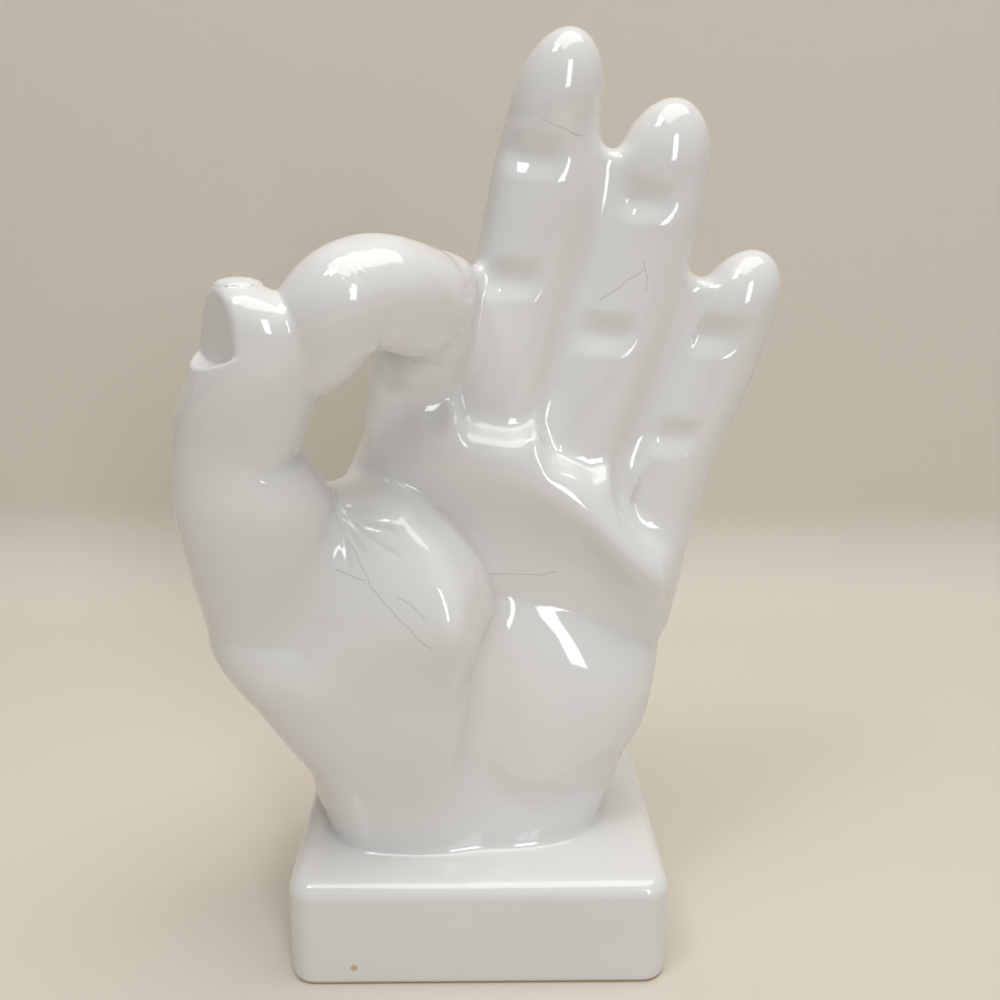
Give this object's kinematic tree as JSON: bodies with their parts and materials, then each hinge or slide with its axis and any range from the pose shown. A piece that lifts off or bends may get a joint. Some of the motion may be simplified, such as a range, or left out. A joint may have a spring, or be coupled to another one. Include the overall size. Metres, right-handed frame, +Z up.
{
  "type": "ceramic hand sculpture",
  "caption": "Free-standing glazed ceramic left hand on a rounded plinth, with the thumb and index fingertips joined in a ring and the other fingers raised.",
  "frame": {"origin": "middle of the plinth's underside", "axes": "+Z up, towards the fingertips; +X to the right as the palm is seen; the palm faces -Y"},
  "size_m": [0.1545, 0.087, 0.2454],
  "materials": {
    "white_glaze": "glossy, finely crazed white glaze"
  },
  "bodies": {
    "root": {"plinth": "white_glaze", "palm": "white_glaze", "thumb": "white_glaze", "index_finger": "white_glaze", "middle_finger": "white_glaze", "ring_finger": "white_glaze", "little_finger": "white_glaze"}
  },
  "joints": []
}
